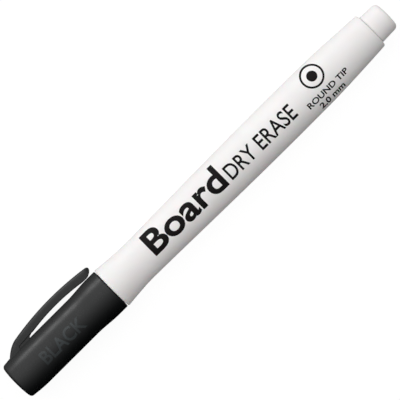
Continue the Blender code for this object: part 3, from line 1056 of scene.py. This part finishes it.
class MARKER_OT_stage(bpy.types.Operator):
    """Sets the pale floor, the key light, the surroundings and the camera"""

    bl_idname = "marker.stage"
    bl_label = "Floor, lights and camera"

    def execute(self, context):
        stage = context.scene.marker_stage
        deselect_all()
        bpy.ops.mesh.primitive_circle_add(
            vertices=FINE_STEPS, radius=FLOOR_RADIUS, fill_type="NGON"
        )
        floor = bpy.context.object
        floor.name = floor.data.name = "pale_floor"
        colours = context.scene.marker_colours
        floor.data.materials.append(surface("pale_floor", pale_floor, colours, stage.floor_glow))
        floor.visible_glossy = False
        key = soft_box("key_light", KEY_ELEVATION, KEY_DISTANCE, KEY_SIZE, KEY_POWER)
        key.visible_glossy = False
        self.surroundings(context.scene)
        self.camera(context.scene, stage)
        context.scene.view_settings.view_transform = "Standard"
        return {"FINISHED"}

    def surroundings(self, scene):
        """An even sky for matt light, a brighter clip side for gloss, and a pale backdrop."""
        world = bpy.data.worlds.new("pale_room")
        scene.world = world
        world.use_nodes = True
        tree = world.node_tree
        path = tree.nodes.new("ShaderNodeLightPath")
        matt, backdrop, gloss = self.backgrounds(tree, 3)
        matt.inputs["Color"].default_value = ROOM_COLOUR
        matt.inputs["Strength"].default_value = ROOM_STRENGTH
        backdrop.inputs["Strength"].default_value = BACKDROP_STRENGTH
        glow = tree.nodes.new("ShaderNodeMath")
        glow.operation = "ADD"
        for (degrees, power, strength), socket in zip((WIDE_GLOSS, NARROW_GLOSS), glow.inputs):
            lobe = self.lobe(tree, self.toward(degrees), power, strength)
            tree.links.new(lobe, socket)
        tree.links.new(glow.outputs[0], gloss.inputs["Strength"])
        lit = self.chosen(tree, path.outputs["Is Glossy Ray"], matt, gloss)
        shown = self.chosen(tree, path.outputs["Is Camera Ray"], lit, backdrop)
        tree.links.new(shown.outputs[0], tree.nodes["World Output"].inputs["Surface"])

    def toward(self, degrees):
        """The direction that lies so far from the print side towards the clip's side."""
        turn_by = math.radians(degrees)
        return FRONT * math.cos(turn_by) + CLIPWARD * math.sin(turn_by)

    def backgrounds(self, tree, count):
        backgrounds = [tree.nodes.new("ShaderNodeBackground") for _ in range(count)]
        for background in backgrounds:
            background.inputs["Color"].default_value = (1, 1, 1, 1)
        return backgrounds

    def chosen(self, tree, switch, first, second):
        choose = tree.nodes.new("ShaderNodeMixShader")
        tree.links.new(switch, choose.inputs[0])
        tree.links.new(first.outputs[0], choose.inputs[1])
        tree.links.new(second.outputs[0], choose.inputs[2])
        return choose

    def lobe(self, tree, axis, power, strength):
        """Light that is strongest along an axis and falls away round it."""
        direction = tree.nodes.new("ShaderNodeTexCoord").outputs["Generated"]
        cosine = tree.nodes.new("ShaderNodeVectorMath")
        cosine.operation = "DOT_PRODUCT"
        cosine.inputs[1].default_value = axis
        tree.links.new(direction, cosine.inputs[0])
        value = cosine.outputs["Value"]
        steps = (("MULTIPLY_ADD", 0.5, 0.5), ("POWER", power), ("MULTIPLY", strength))
        for operation, *numbers in steps:
            step = tree.nodes.new("ShaderNodeMath")
            step.operation = operation
            tree.links.new(value, step.inputs[0])
            for slot, number in enumerate(numbers, 1):
                step.inputs[slot].default_value = number
            value = step.outputs[0]
        return value

    def camera(self, scene, stage):
        """Looks square at the print with the pen leaning up to the right and the clip on top."""
        lean = stage.lean
        right = ALONG * math.cos(lean) - CLIPWARD * math.sin(lean)
        up = ALONG * math.sin(lean) + CLIPWARD * math.cos(lean)
        target = PEN @ Vector((LENGTH / 2, 0, 0)) - right * stage.shift_right - up * stage.shift_up
        turned = Matrix((right, up, FRONT)).transposed().to_4x4()
        bpy.ops.object.camera_add()
        camera = bpy.context.object
        camera.matrix_world = Matrix.Translation(target + FRONT * stage.distance) @ turned
        camera.data.sensor_width = SENSOR_WIDTH
        camera.data.lens = camera.data.sensor_width * stage.distance / stage.view_width
        camera.data.clip_start = 0.05
        camera.data.clip_end = 40
        scene.camera = camera


class MARKER_PT_panel(bpy.types.Panel):
    """Lists the marker's pieces and their settings"""

    bl_label = "Whiteboard Marker"
    bl_space_type = "VIEW_3D"
    bl_region_type = "UI"
    bl_category = "Marker"

    def draw(self, context):
        for label, name, _ in SETTINGS:
            box = self.layout.box()
            box.label(text=label)
            settings = getattr(context.scene, name)
            for key in settings.__annotations__:
                box.prop(settings, key)
        for operator in OPERATORS:
            self.layout.operator(operator.bl_idname)


SETTINGS = (
    ("Barrel", "marker_barrel", MarkerBarrelSettings),
    ("Tip and ink", "marker_tip", MarkerTipSettings),
    ("Cap", "marker_cap", MarkerCapSettings),
    ("Clip", "marker_clip", MarkerClipSettings),
    ("Print", "marker_print", MarkerPrintSettings),
    ("Colours", "marker_colours", MarkerColourSettings),
    ("Stage", "marker_stage", MarkerStageSettings),
)
OPERATORS = (
    MARKER_OT_barrel,
    MARKER_OT_tip,
    MARKER_OT_ink,
    MARKER_OT_cap,
    MARKER_OT_clip,
    MARKER_OT_print,
    MARKER_OT_stage,
)


def register():
    for _, name, group in SETTINGS:
        bpy.utils.register_class(group)
        setattr(bpy.types.Scene, name, PointerProperty(type=group))
    for item in (*OPERATORS, MARKER_PT_panel):
        bpy.utils.register_class(item)


def unregister():
    for item in reversed((*OPERATORS, MARKER_PT_panel)):
        bpy.utils.unregister_class(item)
    for _, name, group in reversed(SETTINGS):
        delattr(bpy.types.Scene, name)
        bpy.utils.unregister_class(group)


def main():
    register()
    bpy.ops.marker.barrel()
    bpy.ops.marker.tip()
    bpy.ops.marker.ink()
    bpy.ops.marker.cap()
    bpy.ops.marker.clip()
    bpy.ops.marker.print()
    bpy.ops.marker.stage()


if __name__ == "__main__":
    main()
